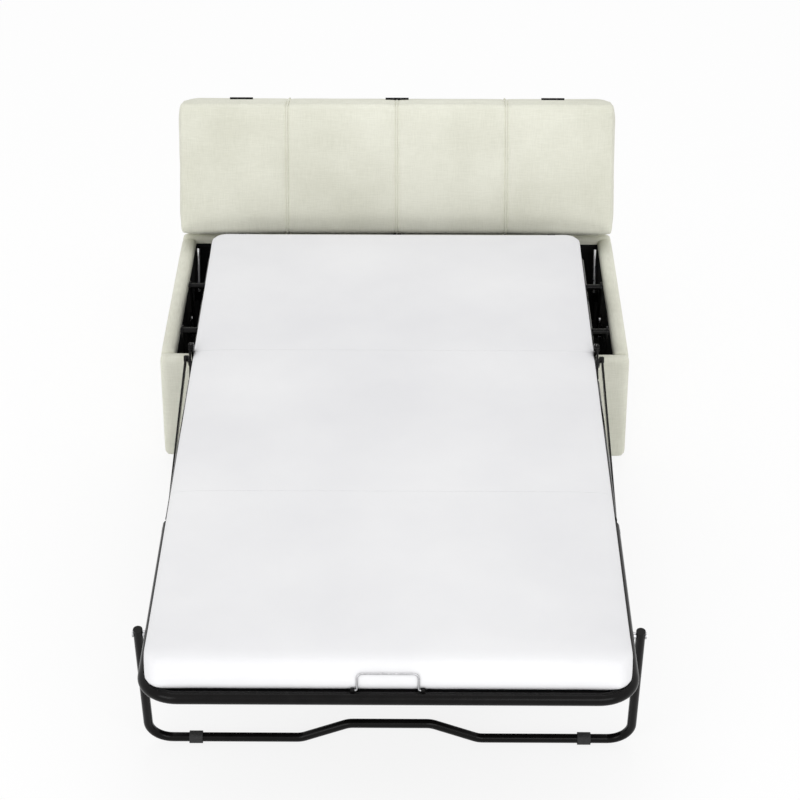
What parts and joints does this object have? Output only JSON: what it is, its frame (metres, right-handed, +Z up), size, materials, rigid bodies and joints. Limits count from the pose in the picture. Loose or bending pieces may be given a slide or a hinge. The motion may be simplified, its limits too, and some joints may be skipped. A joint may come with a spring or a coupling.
{
  "type": "storage sofa bed",
  "caption": "Upholstered storage ottoman opened as a single bed, with a folding steel frame, a mattress and a folded lid standing as headboard.",
  "frame": {"origin": "on the floor under the middle of the overall bounding box of the open bed", "axes": "+X to the right as seen from the foot of the bed, +Y from the foot to the headboard, +Z up"},
  "size_m": [1.124, 2.309, 0.6522],
  "materials": {
    "cream_fabric": "woven",
    "white_ticking": "smooth knit",
    "black_cloth": "non-woven",
    "black_steel": "gloss powder coat",
    "bright_steel": "zinc plated",
    "plywood": "raw",
    "black_rubber": "matt",
    "black_plastic": "matt"
  },
  "bodies": {
    "box": {"front_wall_board": "plywood", "rear_wall_board": "plywood", "side_wall_board_left": "plywood", "side_wall_board_right": "plywood", "front_wall_cover": "cream_fabric", "rear_wall_cover": "cream_fabric", "side_wall_cover_left": "cream_fabric", "side_wall_cover_right": "cream_fabric", "base_board": "plywood", "dust_sheet": "black_cloth", "feet": "black_plastic", "box_lining": "black_cloth", "mount_plates": "black_steel", "mount_bolts": "bright_steel", "arm_pivot_pins": "black_steel", "stand_rods": "bright_steel", "stand_brackets": "black_steel", "box_hinge_leaves": "black_steel", "lid_hinge_pins": "bright_steel"},
    "lid_rear": {"lid_rear_board": "plywood", "lid_rear_pad": "cream_fabric", "lid_rear_piping": "cream_fabric", "lid_rear_hinge_leaves": "black_steel", "lid_mid_leaves_rear": "black_steel", "lid_mid_pins": "bright_steel"},
    "lid_front": {"lid_front_board": "plywood", "lid_front_pad": "cream_fabric", "lid_front_piping": "cream_fabric", "lid_mid_leaves_front": "black_steel"},
    "front_arms": {"front_arm_left": "black_steel", "front_arm_right": "black_steel", "arm_cross_tube": "black_steel"},
    "rear_arms": {"rear_arm_left": "black_steel", "rear_arm_right": "black_steel"},
    "head_section": {"head_mattress": "white_ticking", "head_rails": "black_steel", "head_cross_tubes": "black_steel", "head_deck": "black_cloth", "head_plates": "black_steel", "head_pins": "black_steel"},
    "middle_section": {"middle_mattress": "white_ticking", "middle_rails": "black_steel", "middle_cross_tubes": "black_steel", "middle_deck": "black_cloth", "middle_plates": "black_steel", "middle_leg_pins": "bright_steel"},
    "foot_section": {"foot_mattress": "white_ticking", "foot_rail": "black_steel", "foot_cross_tube": "black_steel", "foot_deck": "black_cloth", "foot_plates": "black_steel", "foot_pins": "bright_steel", "handle_clips": "black_steel"},
    "control_links": {"control_links": "black_steel"},
    "foot_leg": {"foot_leg": "black_steel", "foot_leg_collars": "black_rubber"},
    "middle_leg": {"middle_leg": "black_steel", "middle_leg_collars": "black_rubber"},
    "pull_handle": {"pull_handle": "bright_steel"}
  },
  "joints": [
    {"name": "arm_swing", "type": "hinge", "parent": "box", "child": "front_arms", "pos_m": [0, 0.39348, 0.17474], "axis": [-1, 0, 0], "range_deg": [0, 32]},
    {"name": "rear_arm_swing", "type": "hinge", "parent": "box", "child": "rear_arms", "pos_m": [0, 0.62348, 0.17474], "axis": [-1, 0, 0], "range_deg": [0, 32]},
    {"name": "head_level", "type": "hinge", "parent": "front_arms", "child": "head_section", "pos_m": [0, 0.308, 0.35], "axis": [1, 0, 0], "range_deg": [0, 32]},
    {"name": "head_fold", "type": "hinge", "parent": "head_section", "child": "middle_section", "pos_m": [0, 0.07, 0.435], "axis": [-1, 0, 0], "range_deg": [0, 180]},
    {"name": "foot_fold", "type": "hinge", "parent": "middle_section", "child": "foot_section", "pos_m": [0, -0.536, 0.31], "axis": [1, 0, 0], "range_deg": [0, 180]},
    {"name": "link_turn", "type": "hinge", "parent": "head_section", "child": "control_links", "pos_m": [0, 0.09, 0.393], "axis": [-1, 0, 0], "range_deg": [0, 180]},
    {"name": "foot_leg_fold", "type": "hinge", "parent": "foot_section", "child": "foot_leg", "pos_m": [0, -0.902, 0.325], "axis": [1, 0, 0], "range_deg": [0, 76.5]},
    {"name": "middle_leg_fold", "type": "hinge", "parent": "middle_section", "child": "middle_leg", "pos_m": [0, -0.382, 0.325], "axis": [1, 0, 0], "range_deg": [0, 90]},
    {"name": "lid_tilt", "type": "hinge", "parent": "box", "child": "lid_rear", "pos_m": [0, 0.941, 0.305], "axis": [1, 0, 0], "range_deg": [0, 10]},
    {"name": "lid_unfold", "type": "hinge", "parent": "lid_rear", "child": "lid_front", "pos_m": [0, 1.059, 0.62919], "axis": [-1, 0, 0], "range_deg": [0, 180]},
    {"name": "handle_turn", "type": "hinge", "parent": "foot_section", "child": "pull_handle", "pos_m": [0, -1.138, 0.366], "axis": [1, 0, 0], "range_deg": [0, 98]}
  ],
  "couplings": [
    {"joint": "rear_arm_swing", "follows": "arm_swing", "ratio": 1},
    {"joint": "head_level", "follows": "arm_swing", "ratio": 1},
    {"joint": "head_fold", "follows": "arm_swing", "ratio": 5.625},
    {"joint": "foot_fold", "follows": "arm_swing", "ratio": 5.625},
    {"joint": "link_turn", "follows": "arm_swing", "ratio": 5.625},
    {"joint": "foot_leg_fold", "follows": "arm_swing", "ratio": 2.3906},
    {"joint": "middle_leg_fold", "follows": "arm_swing", "ratio": 2.8125}
  ]
}
